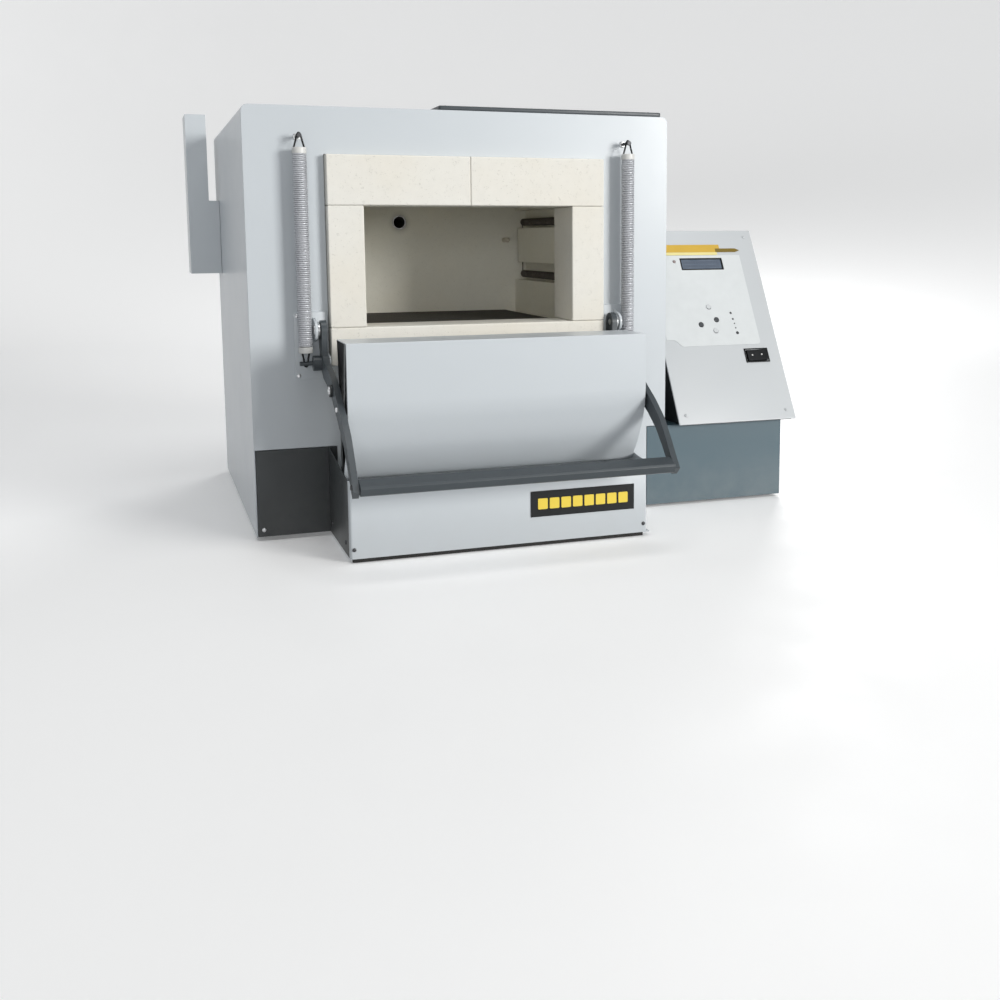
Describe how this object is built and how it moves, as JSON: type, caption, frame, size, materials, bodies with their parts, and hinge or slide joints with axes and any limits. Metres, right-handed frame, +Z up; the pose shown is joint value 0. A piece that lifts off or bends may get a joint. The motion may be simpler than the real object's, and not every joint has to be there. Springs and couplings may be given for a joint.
{
  "type": "chamber kiln",
  "caption": "Bench-top front-loading pottery kiln with a brick-lined chamber, a drop-down lift door on a curved bail, counterbalance springs and a slanted control panel.",
  "frame": {"origin": "centre of the bounding box, at the level the feet stand on", "axes": "+Z up, +X to the right seen from the front, the door side faces -Y"},
  "size_m": [0.901, 0.8153, 0.63],
  "materials": {
    "light_paint": "gloss light grey paint",
    "slate_paint": "satin slate paint",
    "anthracite": "satin anthracite paint",
    "brick": "matte cream firebrick",
    "fibre": "matte white insulating fibre",
    "hearth": "matte dark silicon carbide",
    "ceramic": "matte fired ceramic",
    "element": "oxidised resistance wire",
    "steel": "bright spring steel",
    "black": "black",
    "rubber": "matte black",
    "display": "dark glossy window",
    "lamp": "red lens",
    "key": "grey"
  },
  "bodies": {
    "kiln": {"casing_wrap": "light_paint", "front_panel": "light_paint", "rear_panel": "light_paint", "bottom_plate": "light_paint", "vent_duct": "light_paint", "lower_cover": "light_paint", "controller_fascia": "light_paint", "controller_base": "slate_paint", "top_access_cover": "anthracite", "base_panel_left": "anthracite", "pivot_bracket_left": "anthracite", "pivot_bracket_right": "anthracite", "controller_housing": "anthracite", "foot_front_left": "rubber", "foot_rear_left": "rubber", "foot_front_right": "rubber", "foot_rear_right": "rubber", "chamber_floor": "brick", "chamber_roof": "brick", "chamber_wall_left": "brick", "chamber_wall_right": "brick", "chamber_wall_back": "brick", "lintel_left": "brick", "lintel_right": "brick", "jamb_left": "brick", "jamb_right": "brick", "sill": "brick", "insulation_block": "fibre", "hearth_plate": "hearth", "support_tube_left_lower": "ceramic", "support_tube_left_upper": "ceramic", "support_tube_right_lower": "ceramic", "support_tube_right_upper": "ceramic", "thermocouple": "ceramic", "heating_coil_left": "element", "heating_coil_right": "element", "flue_pipe": "steel", "spring_hook_left": "steel", "spring_hook_right": "steel", "name_plate": "black", "cable_gland": "black", "display_window": "display", "status_lamp": "lamp"},
    "bail": {"swing_arm_left": "anthracite", "swing_arm_right": "anthracite", "handle_bar": "anthracite"},
    "left guide": {"guide_link_left": "anthracite"},
    "right guide": {"guide_link_right": "anthracite"},
    "door": {"door_shell": "light_paint", "door_insulation": "fibre", "door_side_plate_left": "anthracite", "door_side_plate_right": "anthracite"},
    "left spring": {"spring_left": "steel"},
    "right spring": {"spring_right": "steel"},
    "switch": {"power_switch": "black"},
    "key up": {"key_up": "key"},
    "key left": {"key_left": "key"},
    "key right": {"key_right": "key"},
    "key down": {"key_down": "key"}
  },
  "joints": [
    {"name": "bail_swing", "type": "hinge", "parent": "kiln", "child": "bail", "pos_m": [-0.0865, -0.17035, 0.295], "axis": [-1, 0, 0], "range_deg": [0, 120]},
    {"name": "left_guide_swing", "type": "hinge", "parent": "kiln", "child": "left guide", "pos_m": [-0.2963, -0.17035, 0.25], "axis": [-1, 0, 0], "range_deg": [0, 120]},
    {"name": "right_guide_swing", "type": "hinge", "parent": "kiln", "child": "right guide", "pos_m": [0.1233, -0.17035, 0.25], "axis": [-1, 0, 0], "range_deg": [0, 120]},
    {"name": "door_level", "type": "hinge", "parent": "bail", "child": "door", "pos_m": [-0.0865, -0.25955, 0.2218], "axis": [-1, 0, 0], "range_deg": [-120, 0]},
    {"name": "left_spring_lean", "type": "hinge", "parent": "kiln", "child": "left spring", "pos_m": [-0.3265, -0.17235, 0.558], "axis": [-1, 0, 0], "range_deg": [0, 8.57], "deforming": ["spring_left"]},
    {"name": "right_spring_lean", "type": "hinge", "parent": "kiln", "child": "right spring", "pos_m": [0.1535, -0.17235, 0.558], "axis": [-1, 0, 0], "range_deg": [0, 8.57], "deforming": ["spring_right"]},
    {"name": "power_rock", "type": "hinge", "parent": "kiln", "child": "switch", "pos_m": [0.407, -0.11443, 0.22766], "axis": [0, 0.4837, 0.8753], "range_deg": [0, 10]},
    {"name": "key_up_press", "type": "slide", "parent": "kiln", "child": "key up", "axis": [0, 0.8753, -0.4837], "range_m": [0, 0.001], "stiffness_N_per_m": 400, "springref_m": -0.001},
    {"name": "key_left_press", "type": "slide", "parent": "kiln", "child": "key left", "axis": [0, 0.8753, -0.4837], "range_m": [0, 0.001], "stiffness_N_per_m": 400, "springref_m": -0.001},
    {"name": "key_right_press", "type": "slide", "parent": "kiln", "child": "key right", "axis": [0, 0.8753, -0.4837], "range_m": [0, 0.001], "stiffness_N_per_m": 400, "springref_m": -0.001},
    {"name": "key_down_press", "type": "slide", "parent": "kiln", "child": "key down", "axis": [0, 0.8753, -0.4837], "range_m": [0, 0.001], "stiffness_N_per_m": 400, "springref_m": -0.001}
  ],
  "couplings": [
    {"joint": "left_guide_swing", "follows": "bail_swing", "ratio": 1},
    {"joint": "right_guide_swing", "follows": "bail_swing", "ratio": 1},
    {"joint": "door_level", "follows": "bail_swing", "ratio": -1},
    {"joint": "left_spring_lean", "follows": "bail_swing", "ratio": 0.0714},
    {"joint": "right_spring_lean", "follows": "bail_swing", "ratio": 0.0714}
  ]
}
